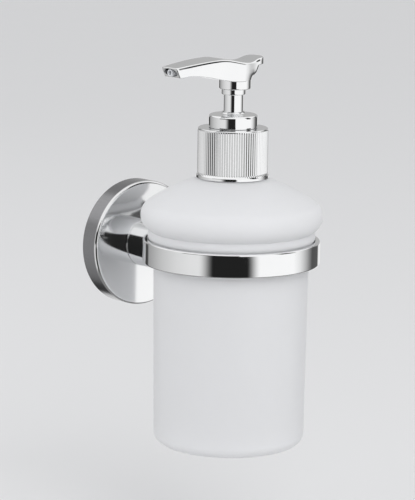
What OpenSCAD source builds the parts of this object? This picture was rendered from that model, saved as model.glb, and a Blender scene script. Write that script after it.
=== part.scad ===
// Wall mounted soap dispenser: a chrome rosette and arm carry a band ring, a frosted glass
// bottle stands in the ring, and a lotion pump is screwed on its neck.
// Millimetres. The origin is the centre of the rosette's back, +Z is up, the wall is the
// plane y = 0 and the dispenser stands out towards -Y.

/* [Rosette and bracket] */
// Diameter of the rosette
rosette_d = 55.8; // [52:0.2:64]
// Depth of the rosette from the wall to its face
rosette_t = 9.4; // [8:0.2:12]
// Wall of the rosette shell
rosette_wall = 1.8; // [1.4:0.1:2.2]
// Radius of the rosette's front edge
rosette_edge_r = 1.3; // [0.4:0.1:1.4]
// Thickness of the wall bracket's plate
plate_t = 2.2; // [1.8:0.1:2.6]
// Radial thickness of the bracket's rim
bracket_rim_w = 2.4; // [2:0.1:3]
// Diameter of the two wall screw holes
screw_hole_d = 5; // [4:0.1:6]
// Distance between the two wall screw holes
screw_spacing = 30; // [24:0.5:34]
// Diameter of the grub screw under the rosette
grub_d = 4; // [3:0.5:4]

/* [Arm] */
// Distance from the wall to the bottle's axis
reach = 67; // [64:0.5:90]
// Diameter of the arm
arm_d = 20.6; // [17:0.2:22]
// Length of the stub that stands out behind the ring
stub_l = 3; // [3:0.5:8]
// Diameter of the bolt and the stud in the arm
stud_d = 6; // [5:0.5:8]

/* [Ring and liner] */
// Outside diameter of the ring
ring_d = 76; // [75:0.5:84]
// Wall of the ring's band
ring_wall = 2.2; // [1.8:0.1:3]
// Height of the ring's band
ring_h = 10.2; // [8.8:0.1:14]
// Height of the ring's middle above the arm's axis
ring_rise = 5.2; // [1:0.1:5.5]
// Thickness of the lip under the liner
lip_t = 1.6; // [1.2:0.1:2.2]
// Height of the plastic liner
liner_h = 3.1; // [2:0.1:4]

/* [Bottle] */
// Height of the bottle from its base to the step that rests on the liner
body_h = 84; // [70:0.2:110]
// Diameter at the base
base_d = 65; // [58:0.5:65]
// Radius of the rounded edge round the base
base_edge_r = 5; // [3.5:0.5:8]
// Wall of the glass
glass_t = 3; // [2:0.1:3.4]
// Thickness of the glass base
base_t = 6; // [4:0.5:10]
// Diameter of the dish under the base
dish_d = 42; // [30:1:50]
// Depth of the dish under the base
dish_depth = 0.8; // [0.4:0.1:1.5]
// Width of the step at the liner
step_w = 1; // [0.9:0.05:1.8]
// How far the small bead above the ring stands out
bead_out = 1.6; // [1.2:0.1:1.8]
// Radius of the bead's section
bead_r = 3.8; // [3:0.1:5]
// Height of the bead's middle above the ring
bead_rise = 1.7; // [1.6:0.1:3]
// How far the wide bulge stands out
bulge_out = 4.7; // [3.5:0.1:6]
// Radius of the bulge's section
bulge_r = 7; // [6:0.2:9]
// Height of the bulge's middle above the bead's
bulge_rise = 8.5; // [7.5:0.1:10]
// Angle at which the shoulder leaves the bulge
shoulder_angle = 55.5; // [50:0.5:60]
// Radius of the shoulder's section
shoulder_r = 86; // [70:1:140]
// Diameter of the neck
neck_d = 25.8; // [23.5:0.1:26]
// Diameter of the neck's bore
neck_bore_d = 20; // [18:0.1:21]

/* [Collar] */
// Diameter over the ribs of the collar
collar_d = 30; // [30:0.1:34]
// Height of the collar
collar_h = 21.3; // [18:0.1:26]
// Number of ribs round the collar
rib_count = 90; // [60:6:120]
// Depth of the ribs
rib_depth = 0.35; // [0.2:0.05:0.45]
// How far the smooth lip at the foot of the collar stands out
collar_lip_out = 0.6; // [0.3:0.1:1.5]
// Height of the lip
collar_lip_h = 1.3; // [1.2:0.1:3]
// Height of the plain edge above the ribs
collar_band_h = 0.7; // [0.5:0.1:1.5]
// Thickness of the chrome shell's top
shell_top_t = 0.6; // [0.5:0.1:1]
// Thickness of the closure's top
closure_top_t = 1.2; // [1:0.1:2]
// Thickness of the neck gasket
gasket_t = 1.2; // [0.8:0.1:2]

/* [Cap and stem] */
// Diameter of the cap on the collar
cap_d = 21; // [20.6:0.1:24]
// Height of the cap
cap_h = 5.6; // [5.2:0.1:8]
// Radius of the cap's top edge
cap_edge_r = 1.3; // [0.5:0.1:1.5]
// Thickness of the cap's metal
cap_wall = 0.8; // [0.6:0.1:1.2]
// Foot diameter of the boss round the stem
boss_d = 13.2; // [12:0.1:15]
// Height of the boss
boss_h = 1; // [0.6:0.1:1.4]
// Diameter of the stem's chrome sleeve
stem_d = 8.3; // [8:0.1:9]
// Wall of the sleeve
sleeve_wall = 0.65; // [0.5:0.05:0.8]
// Stroke of the pump
stroke = 7; // [5:0.5:9]
// Diameter of the stepped ring under the head
stem_ring_d = 10.3; // [9.8:0.1:12.5]
// Height of the stepped ring
stem_ring_h = 2.3; // [2:0.1:4]

/* [Pump head] */
// Diameter of the head's barrel
barrel_d = 13.6; // [13:0.1:14.2]
// Height of the barrel below the spout's underside at the axis
barrel_drop = 3.6; // [2:0.1:5]
// Length of the spout from the stem's axis
spout_l = 34.5; // [30:0.5:50]
// Width of the spout at its end
spout_w = 11.4; // [11:0.1:14]
// Width of the head across the barrel
head_w = 14.4; // [14.2:0.1:16]
// Length of the thumb rest from the stem's axis
thumb_l = 15; // [13.5:0.5:18]
// Depth of the spout at its end
spout_depth = 4.4; // [4.2:0.1:5.5]
// Lean of the spout's end, in millimetres back per millimetre down
spout_lean = 0.5; // [0:0.05:0.6]
// Bore of the passage in the spout
passage_d = 3.4; // [3:0.1:3.6]
// Radius of the head's upper edges
head_edge_r = 1.2; // [0.6:0.1:1.6]

/* [Pump housing] */
// Outside diameter of the pump cylinder
cylinder_d = 16.4; // [15.8:0.1:17]
// Wall of the pump cylinder
cylinder_wall = 1; // [0.8:0.1:1.2]
// Length of the spring chamber under the rod at rest
chamber_l = 14.1; // [13:0.1:18]
// Outside diameter of the dip tube
dip_d = 6.4; // [5:0.1:7]
// Wall of the dip tube
dip_wall = 0.8; // [0.5:0.1:1]
// Gap between the dip tube's end and the bottle's floor
dip_gap = 3; // [2:0.5:8]
// Diameter of the inlet ball
inlet_ball_d = 4.6; // [4:0.1:4.8]
// Diameter of the outlet ball
outlet_ball_d = 3.8; // [3.4:0.1:4]
// Height of the piston
piston_h = 5; // [4:0.5:7]
// Wire of the return spring
wire_d = 0.9; // [0.6:0.1:1]
// Turns of the return spring
spring_turns = 6; // [4:0.5:6]

/* [Clearances] */
// Gap between flat faces of pieces that move
seat_gap = 0.1; // [0.05:0.05:0.3]
// Gap round pieces that lift out
slide_gap = 0.3; // [0.2:0.05:0.45]
// Gap round sliding and turning fits
run_gap = 0.08; // [0.04:0.01:0.1]
// Gap round pieces fixed in one another
fix_gap = 0.05; // [0.02:0.01:0.08]
// Gap between the bracket and the rosette
bracket_gap = 0.2; // [0.1:0.05:0.3]

/* [Hidden] */
$fn = 96;
fine_fn = 180;
cut = 1;                      // overshoot of a cutter past the face it cuts

// Rosette, bracket and their screws
rosette_r = rosette_d / 2;
rosette_in_r = rosette_r - rosette_wall;
bracket_r = rosette_in_r - bracket_gap;
bracket_depth = rosette_t - rosette_wall - 1;
grub_y = -bracket_depth * 0.6;
grub_point_r = grub_d * 0.3;
grub_head_z = -rosette_r + 0.4;
grub_point_z = -bracket_r + bracket_rim_w * 0.7;
bolt_head_r = stud_d * 0.75;
bolt_head_t = 2.4;

// Arm and ring
ring_r = ring_d / 2;
ring_in_r = ring_r - ring_wall;
ring_edge = 0.8;
ring_y = -reach;
arm_end_y = -(reach - ring_r - stub_l);
arm_l = -arm_end_y - rosette_t;
stud_arm_l = 6;
bolt_l = arm_l - stud_arm_l - 1.6;
stud_ring_l = stub_l + ring_wall * 0.3;
ring_z = ring_rise - ring_h / 2;
ring_top_z = ring_z + ring_h;
liner_z = ring_z + lip_t;
step_z = liner_z + liner_h + seat_gap;

// Bottle
core_gap = 1.5;
core_r = ring_in_r - core_gap;
body_r = core_r - step_w;
lip_back = 0.55;
base_z = step_z - body_h;
bead_z = ring_top_z + bead_rise;
bead_x = core_r + bead_out - bead_r;
bulge_z = bead_z + bulge_rise;
bulge_x = core_r + bulge_out - bulge_r;
shoulder_x = bulge_x - (shoulder_r - bulge_r) * cos(shoulder_angle);
shoulder_z = bulge_z - (shoulder_r - bulge_r) * sin(shoulder_angle);
neck_r = neck_d / 2;

// Height of the shoulder's surface at radius r
function shoulder_at(r) = shoulder_z + sqrt(pow(shoulder_r, 2) - pow(r - shoulder_x, 2));

// Collar, closure and gasket, from the shoulder up
collar_r = collar_d / 2;
collar_lip_r = collar_r + collar_lip_out;
lip_gap = 0.5;
collar_z = shoulder_at(collar_lip_r) + lip_gap;
collar_top_z = collar_z + collar_h;
shell_in_r = collar_r - rib_depth - 0.35;
closure_r = shell_in_r - fix_gap;
closure_in_r = neck_r + slide_gap;
closure_top_z = collar_top_z - shell_top_t;
web_z = closure_top_z - closure_top_t;
flange_t = 1.4;
flange_top_z = web_z - seat_gap;
flange_z = flange_top_z - flange_t;
gasket_z = flange_z - gasket_t;
neck_top_z = gasket_z;
flange_r = neck_r - slide_gap;
thread_relief = 0.6;
thread_l = 12;

// Cap, guide and stem
cap_z = collar_top_z + seat_gap;
cap_r = cap_d / 2;
cap_top_z = cap_z + cap_h;
boss_top_z = cap_top_z + boss_h;
sleeve_r = stem_d / 2;
sleeve_in_r = sleeve_r - sleeve_wall;
guide_bore_r = sleeve_r + run_gap;
boss_bore_r = sleeve_r + slide_gap;
boss_top_r = boss_bore_r + 0.5;
hub_r = cap_r - cap_wall - 1.4;
guide_neck_r = hub_r - 2;
guide_top_z = cap_top_z - cap_wall;
hub_top_z = cap_z + cap_h * 0.3;
passing_gap = 0.4;
stem_ring_z = boss_top_z + stroke + slide_gap;
barrel_z = stem_ring_z + stem_ring_h;

// Pump cylinder, from the flange down
cylinder_r = cylinder_d / 2;
cylinder_in_r = cylinder_r - cylinder_wall;
guide_l = 16.2;
guide_z = flange_top_z - guide_l;
piston_z = guide_z - seat_gap - piston_h;
rod_flange_t = 1.2;
rod_flange_r = cylinder_in_r - 1.3;
rod_z = piston_z - seat_gap - rod_flange_t;
chamber_z = rod_z - chamber_l;
chamber_floor_t = 1;
spring_r = cylinder_in_r - 1.9;
ball_chamber_r = inlet_ball_d / 2 + 0.6;
ball_lip_r = inlet_ball_d / 2 - 0.3;
inlet_r = 1.5;
inlet_lift = 1.5;
inlet_drop = 7.3;                     // from the chamber's floor to the inlet ball's seat
inlet_seat_z = chamber_z - inlet_drop;
ball_drop = (inlet_ball_d / 2) * sqrt(2) - inlet_r;
inlet_ball_z = inlet_seat_z + ball_drop + 0.12;
socket_l = 10;
socket_gap = 1.2;
socket_top_z = inlet_seat_z - socket_gap;
socket_z = socket_top_z - socket_l;
socket_r = dip_d / 2 + fix_gap;
inlet_r_out = socket_r + 1.1;
dip_end_z = base_z + base_t + dip_gap;

// Piston rod and outlet valve
rod_r = sleeve_in_r - fix_gap;
rod_bore_r = 1.3;
outlet_chamber_r = outlet_ball_d / 2 + 0.55;
outlet_seat_z = barrel_z - 1.2;
outlet_drop = (outlet_ball_d / 2) * sqrt(2) - rod_bore_r;
outlet_ball_z = outlet_seat_z + outlet_drop + 0.12;
outlet_lift = 1.2;
stop_pin_z = outlet_ball_z + outlet_ball_d / 2 + outlet_lift + 0.25;
stop_pin_r = 0.8;

// Pump head, heights above the barrel's foot
head_bore_r = sleeve_r + fix_gap;
skirt_z = barrel_z + barrel_drop;
hump_x = 12;
hump_rise = 10.2;
hump_z = skirt_z + hump_rise;
saddle_x = -4;
saddle_rise = 8.1;
saddle_z = skirt_z + saddle_rise;
rest_in = 2;                          // from the thumb rest's end to its highest line
rest_x = rest_in - thumb_l;
rest_rise = 9.9;
rest_z = skirt_z + rest_rise;
tip_rise = 7.8;
tip_z = skirt_z + tip_rise;
arch_in = 7;                          // from the outlet to the top of the arch under the spout
arch_x = spout_l - arch_in;
arch_rise = 0.5;
arch_z = tip_z - spout_depth + arch_rise;
tail_in = 5.5;                          // from the thumb rest's end to where its underside levels
tail_low_x = tail_in - thumb_l;
tail_t = 3.4;
tail_low_z = rest_z - tail_t;
skirt_in = 1;
barrel_back = 0.7;                    // from the stem's axis to the barrel's, towards the thumb rest
barrel_side = barrel_d / 2 + barrel_back - skirt_in;
passage_drop = 3.8;
passage_z = saddle_z - passage_drop;
bore_in = 0.9;                        // from the passage's underside up to the bore's end
head_bore_top_z = passage_z - passage_d / 2 + bore_in;
rod_top_z = head_bore_top_z - 0.3;
passage_end_z = tip_z - spout_depth / 2;
passage_tilt = atan((passage_end_z - passage_z) / spout_l);
passage_start = 0.6;
insert_start = 9;
insert_in = 2.8;
mouth_side_w = 1.2;
mouth_edge_w = 0.6;
mouth_w = spout_w - 2 * mouth_side_w;
mouth_h = spout_depth - 2 * mouth_edge_w;
mouth_l = 5;

// ---------------------------------------------------------------- shared shapes

// A cylinder along -Y from depth y0 to depth y1, both measured from the wall
module bar(r, y0, y1) {
    translate([0, -y0, 0]) rotate([90, 0, 0]) cylinder(r = r, h = y1 - y0);
}

// Puts its children on the bottle's axis
module on_axis() {
    translate([0, ring_y, 0]) children();
}

// A tube round the bottle's axis
module tube(r_out, r_in, z0, z1) {
    translate([0, 0, z0]) difference() {
        cylinder(r = r_out, h = z1 - z0);
        translate([0, 0, -cut]) cylinder(r = r_in, h = z1 - z0 + 2 * cut);
    }
}

// A smooth step from a to b as t goes from 0 to 1
function ease(a, b, t) = a + (b - a) * (1 - cos(180 * min(1, max(0, t)))) / 2;

// ---------------------------------------------------------------- wall side

module wall_bracket() {
    color("lightsteelblue") difference() {
        bar(bracket_r, 0, bracket_depth);
        bar(bracket_r - bracket_rim_w, plate_t, bracket_depth + cut);
        for (side = [-1, 1])
            translate([side * screw_spacing / 2, 0, 0])
                bar(screw_hole_d / 2, -cut, plate_t + cut);
        translate([0, grub_y, -bracket_r - cut])
            cylinder(r = grub_point_r + fix_gap, h = bracket_rim_w + 2 * cut);
    }
}

module rosette_outline() {
    square([rosette_r, rosette_t - rosette_edge_r]);
    square([rosette_r - rosette_edge_r, rosette_t]);
    translate([rosette_r - rosette_edge_r, rosette_t - rosette_edge_r]) circle(r = rosette_edge_r);
}

module rosette() {
    color("gainsboro") difference() {
        rotate([90, 0, 0]) rotate_extrude($fn = fine_fn) rosette_outline();
        bar(rosette_in_r, -cut, rosette_t - rosette_wall);
        bar(stud_d / 2 + fix_gap, 0, rosette_t + cut);
        translate([0, grub_y, -rosette_r - cut])
            cylinder(r = grub_d / 2 + fix_gap, h = rosette_wall + 2 * cut);
    }
}

module grub_screw() {
    socket_d = grub_d * 0.5;
    color("dimgray") translate([0, grub_y, 0]) difference() {
        union() {
            translate([0, 0, grub_head_z])
                cylinder(r = grub_d / 2, h = -rosette_in_r - grub_head_z);
            translate([0, 0, grub_head_z])
                cylinder(r = grub_point_r, h = grub_point_z - grub_head_z);
        }
        translate([0, 0, grub_head_z - cut]) cylinder(d = socket_d, h = 1 + cut, $fn = 6);
    }
}

module arm_bolt() {
    head_y = rosette_t - rosette_wall - bolt_head_t;
    color("dimgray") difference() {
        union() {
            bar(bolt_head_r, head_y, head_y + bolt_head_t);
            bar(stud_d / 2, head_y, rosette_t + bolt_l);
        }
        bar(stud_d * 0.28, head_y - cut, head_y + bolt_head_t * 0.6, $fn = 6);
    }
}

module arm() {
    color("gainsboro") difference() {
        bar(arm_d / 2, rosette_t, -arm_end_y);
        bar(stud_d / 2 + fix_gap, rosette_t - cut, rosette_t + bolt_l + 0.5);
        bar(stud_d / 2 + fix_gap, -arm_end_y - stud_arm_l - 0.3, -arm_end_y + cut);
    }
}

module ring_stud() {
    color("dimgray") bar(stud_d / 2, -arm_end_y - stud_arm_l, -arm_end_y + stud_ring_l);
}

// ---------------------------------------------------------------- ring and liner

module ring_section() {
    translate([ring_in_r, 0]) square([ring_wall, ring_h]);
    translate([body_r + slide_gap + lip_back, 0])
        square([ring_in_r - body_r - slide_gap - lip_back + ring_wall / 2, lip_t]);
}

// What is cut off one of the band's outer edges to round it
module ring_corner(z, up) {
    translate([ring_r - ring_edge, z]) polygon(concat(
        [for (a = [0 : 15 : 90]) ring_edge * [sin(a), up * (1 - cos(a))]],
        [[ring_edge + cut, up * ring_edge], [ring_edge + cut, -up * cut], [0, -up * cut]]));
}

module holder_ring() {
    color("gainsboro") difference() {
        union() {
            on_axis() translate([0, 0, ring_z]) rotate_extrude($fn = fine_fn) difference() {
                ring_section();
                ring_corner(ring_h, -1);
                ring_corner(0, 1);
            }
            difference() {
                bar(arm_d / 2, -arm_end_y, reach - ring_in_r);
                on_axis() translate([0, 0, -arm_d])
                    cylinder(r = ring_r - ring_wall / 2, h = 2 * arm_d, $fn = fine_fn);
            }
        }
        bar(stud_d / 2 + fix_gap, -arm_end_y - cut, -arm_end_y + stud_ring_l + 0.2);
    }
}

module ring_liner() {
    color("whitesmoke") on_axis()
        tube(ring_in_r - fix_gap, body_r + slide_gap, liner_z, liner_z + liner_h, $fn = fine_fn);
}

// ---------------------------------------------------------------- bottle

// Half section of the glass, drawn inset from its outer skin by t, from its foot at z0
module glass_section(t, z0) {
    edge = max(base_edge_r - t, 1);
    foot_r = base_d / 2 - t;
    translate([0, z0]) square([foot_r - edge, edge + 1]);
    translate([foot_r - edge, z0 + edge]) circle(r = edge);
    polygon([[0, z0 + edge], [foot_r, z0 + edge], [body_r - t, step_z + t],
        [0, step_z + t]]);
    translate([0, step_z + t]) square([core_r - t, bulge_z - step_z - t]);
    translate([bulge_x, bulge_z]) circle(r = bulge_r - t);
    intersection() {
        translate([shoulder_x, shoulder_z]) circle(r = shoulder_r - t, $fn = 4 * fine_fn);
        polygon([[0, bulge_z], [bulge_x, bulge_z],
            [bulge_x + shoulder_r * cos(shoulder_angle), bulge_z + shoulder_r * sin(shoulder_angle)],
            [0, bulge_z + shoulder_r]]);
    }
}

module bottle() {
    neck_foot_z = shoulder_at(neck_r) - glass_t;
    color("white", 0.75) on_axis() rotate_extrude($fn = fine_fn) difference() {
        union() {
            glass_section(0, base_z);
            translate([bead_x, bead_z]) circle(r = bead_r);
            translate([0, neck_foot_z])
                square([neck_r - thread_relief, neck_top_z - neck_foot_z]);
            translate([0, neck_top_z - thread_l]) square([neck_r, thread_l]);
        }
        glass_section(glass_t, base_z + base_t);
        translate([0, bulge_z]) square([neck_bore_d / 2, neck_top_z - bulge_z + cut]);
        translate([0, base_z - cut]) square([dish_d / 2, dish_depth + cut]);
        translate([-2 * shoulder_r, base_z - cut])
            square([2 * shoulder_r, neck_top_z - base_z + 2 * cut]);
    }
}

// ---------------------------------------------------------------- collar and cap

module neck_gasket() {
    color("dimgray") on_axis()
        tube(flange_r, cylinder_r + slide_gap, gasket_z, gasket_z + gasket_t);
}

module closure() {
    color("whitesmoke") on_axis() difference() {
        translate([0, 0, collar_z + 0.4]) cylinder(r = closure_r, h = closure_top_z - collar_z - 0.4);
        translate([0, 0, collar_z]) cylinder(r = closure_in_r, h = web_z - collar_z);
        translate([0, 0, web_z - cut])
            cylinder(r = hub_r + passing_gap, h = closure_top_t + 2 * cut);
    }
}

// A round outline with rib_count ridges
module ribbed_outline() {
    pitch = 360 / rib_count;
    polygon([for (i = [0 : rib_count - 1], half = [0, 1])
        (collar_r - half * rib_depth) * [cos((i + half / 2) * pitch), sin((i + half / 2) * pitch)]]);
}

module collar_shell() {
    band_r = collar_r - rib_depth / 2;
    rib_z = collar_z + collar_lip_h;
    rib_l = collar_h - collar_lip_h - collar_band_h;
    color("silver") on_axis() difference() {
        union() {
            translate([0, 0, collar_z]) cylinder(r = collar_lip_r, h = collar_lip_h);
            translate([0, 0, rib_z]) linear_extrude(rib_l) ribbed_outline();
            translate([0, 0, rib_z + rib_l])
                cylinder(r1 = band_r, r2 = band_r - 0.3, h = collar_band_h);
        }
        translate([0, 0, collar_z - cut]) cylinder(r = shell_in_r, h = collar_h - shell_top_t + cut);
        translate([0, 0, collar_z]) cylinder(r = hub_r + passing_gap, h = collar_h + cut);
    }
}

module cap_section() {
    square([cap_r, cap_h - cap_edge_r]);
    square([cap_r - cap_edge_r, cap_h]);
    translate([cap_r - cap_edge_r, cap_h - cap_edge_r]) circle(r = cap_edge_r);
    difference() {
        translate([0, cap_h]) square([boss_d / 2, boss_h]);
        translate([boss_d / 2, cap_h + boss_h])
            boss_hollow(boss_d / 2 - boss_top_r, boss_h);
    }
}

// The hollow curve of the boss's side, as a cutter
module boss_hollow(w, h) {
    polygon([for (a = [180 : 9 : 270]) [w * cos(a), h * sin(a)], [cut, -h], [cut, cut], [-w, cut]]);
}

module cap() {
    color("gainsboro") on_axis() translate([0, 0, cap_z]) difference() {
        rotate_extrude() cap_section();
        translate([0, 0, -cut]) cylinder(r = cap_r - cap_wall, h = cap_h - cap_wall + cut);
        cylinder(r = boss_bore_r, h = cap_h + boss_h + cut);
    }
}

// ---------------------------------------------------------------- pump, fixed side

module stem_guide() {
    color("white") on_axis() difference() {
        union() {
            translate([0, 0, guide_z])
                cylinder(r = cylinder_in_r - fix_gap, h = flange_top_z - guide_z);
            translate([0, 0, flange_top_z]) cylinder(r = hub_r, h = hub_top_z - flange_top_z);
            translate([0, 0, hub_top_z - cut])
                cylinder(r = guide_neck_r, h = guide_top_z - hub_top_z + cut);
        }
        translate([0, 0, guide_z - cut])
            cylinder(r = guide_bore_r, h = guide_top_z - guide_z + 2 * cut);
    }
}

module housing_section() {
    floor_z = chamber_z - chamber_floor_t;
    translate([0, flange_z]) square([flange_r, flange_t]);
    translate([0, floor_z]) square([cylinder_r, flange_z - floor_z]);
    polygon([[0, socket_z], [inlet_r_out, socket_z], [inlet_r_out, inlet_seat_z],
        [cylinder_r, floor_z], [0, floor_z]]);
}

module housing_hollow() {
    ball_top_z = chamber_z - chamber_floor_t;
    seat_top_z = inlet_seat_z + ball_chamber_r - inlet_r;
    translate([0, chamber_z]) square([cylinder_in_r, flange_top_z - chamber_z + cut]);
    translate([0, ball_top_z - cut]) square([ball_lip_r, chamber_floor_t + 2 * cut]);
    polygon([[0, inlet_seat_z], [inlet_r, inlet_seat_z], [ball_chamber_r, seat_top_z],
        [ball_chamber_r, ball_top_z], [0, ball_top_z]]);
    translate([0, socket_z]) square([inlet_r, inlet_seat_z - socket_z + cut]);
    translate([0, socket_z - cut]) square([socket_r, socket_l + cut]);
}

module pump_housing() {
    color("white") on_axis() rotate_extrude() difference() {
        housing_section();
        housing_hollow();
    }
}

module inlet_ball() {
    color("silver") on_axis() translate([0, 0, inlet_ball_z]) sphere(d = inlet_ball_d);
}

module dip_tube() {
    color("whitesmoke") on_axis() difference() {
        tube(dip_d / 2, dip_d / 2 - dip_wall, dip_end_z, socket_top_z - seat_gap);
        translate([0, 0, dip_end_z]) rotate([0, 35, 0])
            translate([-dip_d, -dip_d, -2 * dip_d]) cube(2 * dip_d);
    }
}

// A round wire along a coil: closed end turns, open turns between them
function coil_height(u, turns, length) =
    let (dead = 0.75 / turns, flat = wire_d * 0.9)
    u < dead ? flat * u / dead
    : u > 1 - dead ? length - flat * (1 - u) / dead
    : flat + (length - 2 * flat) * (u - dead) / (1 - 2 * dead);

module coil(r, length, turns, wire_r, sides = 6, steps = 20) {
    last = ceil(turns * steps);
    points = [for (i = [0 : last], k = [0 : sides - 1])
        let (turn = 360 * i / steps, side = 360 * k / sides, d = r + wire_r * cos(side))
        [d * cos(turn), d * sin(turn), coil_height(i / last, turns, length) + wire_r * sin(side)]];
    walls = [for (i = [0 : last - 1], k = [0 : sides - 1])
        let (a = i * sides + k, b = i * sides + (k + 1) % sides)
        each [[a, a + sides, b], [b, a + sides, b + sides]]];
    start = [[for (k = [0 : sides - 1]) k]];
    end = [[for (k = [sides - 1 : -1 : 0]) last * sides + k]];
    polyhedron(points = points, faces = concat(start, walls, end), convexity = 10);
}

module return_spring() {
    wire_r = wire_d / 2;
    color("silver") on_axis() translate([0, 0, chamber_z + wire_r + fix_gap])
        coil(spring_r, chamber_l - wire_d - 2 * fix_gap, spring_turns, wire_r);
}

// ---------------------------------------------------------------- pump, moving side

module piston() {
    waist_h = piston_h * 0.4;
    waist_r = cylinder_in_r - run_gap - 0.7;
    color("lightgray") on_axis() translate([0, 0, piston_z]) difference() {
        cylinder(r = cylinder_in_r - run_gap, h = piston_h);
        translate([0, 0, (piston_h - waist_h) / 2]) difference() {
            cylinder(r = cylinder_in_r + cut, h = waist_h);
            translate([0, 0, -cut]) cylinder(r = waist_r, h = waist_h + 2 * cut);
        }
        translate([0, 0, -cut]) cylinder(r = rod_r + run_gap, h = piston_h + 2 * cut);
    }
}

module piston_rod() {
    seat_top_z = outlet_seat_z + outlet_chamber_r - rod_bore_r;
    color("whitesmoke") on_axis() rotate_extrude() difference() {
        union() {
            translate([0, rod_z]) square([rod_flange_r, rod_flange_t]);
            translate([0, rod_z]) square([rod_r, rod_top_z - rod_z]);
        }
        translate([0, rod_z - cut]) square([rod_bore_r, rod_top_z - rod_z]);
        polygon([[0, outlet_seat_z], [rod_bore_r, outlet_seat_z], [outlet_chamber_r, seat_top_z],
            [outlet_chamber_r, rod_top_z + cut], [0, rod_top_z + cut]]);
    }
}

module stem_sleeve() {
    color("gainsboro") on_axis()
        tube(sleeve_r, sleeve_in_r, piston_z + piston_h + seat_gap, head_bore_top_z - 0.2);
}

module stem_ring() {
    edge = 0.5;
    color("gainsboro") on_axis() difference() {
        union() {
            translate([0, 0, stem_ring_z])
                cylinder(r1 = stem_ring_d / 2 - edge, r2 = stem_ring_d / 2, h = edge);
            translate([0, 0, stem_ring_z + edge])
                cylinder(r = stem_ring_d / 2, h = stem_ring_h - edge);
        }
        translate([0, 0, stem_ring_z - cut]) cylinder(r = head_bore_r, h = stem_ring_h + 2 * cut);
    }
}

module outlet_ball() {
    color("silver") on_axis() translate([0, 0, outlet_ball_z]) sphere(d = outlet_ball_d);
}

// Puts its children on the passage's axis, which rises from the stem to the outlet
module on_passage() {
    translate([0, 0, passage_z]) rotate([0, passage_tilt, 0]) rotate([0, -90, 0]) children();
}

module outlet_insert() {
    insert_r = passage_d / 2 - fix_gap;
    color("lightgray") on_axis() on_passage() translate([0, 0, insert_start]) difference() {
        cylinder(r = insert_r, h = spout_l - insert_start - insert_in);
        translate([0, 0, -cut]) cylinder(r = insert_r - 0.6, h = spout_l);
    }
}

// Upper edge, lower edge and half width of the head, x measured towards the outlet
function head_top(x) =
    x > hump_x ? hump_z + (tip_z - hump_z) * pow((x - hump_x) / (spout_l - hump_x), 1.5)
    : x > saddle_x ? ease(saddle_z, hump_z, (x - saddle_x) / (hump_x - saddle_x))
    : ease(saddle_z, rest_z, (saddle_x - x) / (saddle_x - rest_x));
function head_low(x) =
    x > arch_x ? ease(arch_z, tip_z - spout_depth, (x - arch_x) / (spout_l - arch_x))
    : x > 0 ? ease(skirt_z, arch_z, x / arch_x)
    : x > -barrel_side ? skirt_z
    : ease(skirt_z, tail_low_z, (-barrel_side - x) / (-barrel_side - tail_low_x));
function head_half(x) =
    let (wide = head_w / 2, end = spout_w / 2, turn_x = end - thumb_l)
    x > 0 ? ease(wide, end, x / hump_x)
    : x > turn_x ? ease(wide, end, x / turn_x)
    : sqrt(max(0.04, end * end - pow(x - turn_x, 2)));

// One rounded section of the head at x, in the YZ plane until the spout's end makes it lean
function head_section(x, arc = 5) =
    let (w = head_half(x), top = head_top(x), low = head_low(x),
        lean = ease(0, spout_lean, (x - arch_x) / (spout_l - arch_x)),
        grow = 0.7 * min(1, max(0, (x - hump_x) / (spout_l - hump_x))),
        re = min(head_edge_r + grow, w * 0.6, (top - low) * 0.45), ru = min(re, 0.7), draft = 0.92,
        outline = concat(
            [for (k = [0 : arc]) let (a = 90 * k / arc)
                [w - re + re * cos(a), top - re + re * sin(a)]],
            [for (k = [0 : arc]) let (a = 90 + 90 * k / arc)
                [-w + re + re * cos(a), top - re + re * sin(a)]],
            [for (k = [0 : arc]) let (a = 180 + 90 * k / arc)
                [-w * draft + ru * (1 + cos(a)), low + ru * (1 + sin(a))]],
            [for (k = [0 : arc]) let (a = 270 + 90 * k / arc)
                [w * draft - ru * (1 - cos(a)), low + ru * (1 + sin(a))]]))
    [for (p = outline) [lean * (top - p[1]) - x, p[0], p[1]]];

// Stations along the head, close together where the thumb rest rounds off
function head_stations() =
    let (end = spout_w / 2, turn_x = end - thumb_l, side_x = 0.5 - barrel_side)
    concat(
        [for (k = [0 : 12]) turn_x - end * cos(90 * k / 12) * 0.999],
        [for (k = [1 : 8]) turn_x + (side_x - turn_x) * k / 8],
        [for (k = [1 : 30]) side_x + (spout_l - side_x) * k / 30]);

module head_body() {
    stations = head_stations();
    rings = [for (x = stations) head_section(x)];
    n = len(rings[0]);
    last = len(rings) - 1;
    walls = [for (i = [0 : last - 1], k = [0 : n - 1])
        let (a = i * n + k, b = i * n + (k + 1) % n)
        each [[a, b, a + n], [b, b + n, a + n]]];
    start = [[for (k = [n - 1 : -1 : 0]) k]];
    end = [[for (k = [0 : n - 1]) last * n + k]];
    polyhedron(points = [for (r = rings) each r], faces = concat(start, walls, end),
        convexity = 6);
}

module head_mouth() {
    for (side = [-1, 1])
        translate([-spout_l - cut, side * (mouth_w - mouth_h) / 2, passage_end_z])
            rotate([0, 90, 0]) cylinder(r = mouth_h / 2, h = mouth_l + cut);
    translate([-spout_l - cut, -(mouth_w - mouth_h) / 2, passage_end_z - mouth_h / 2])
        cube([mouth_l + cut, mouth_w - mouth_h, mouth_h]);
}

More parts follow.
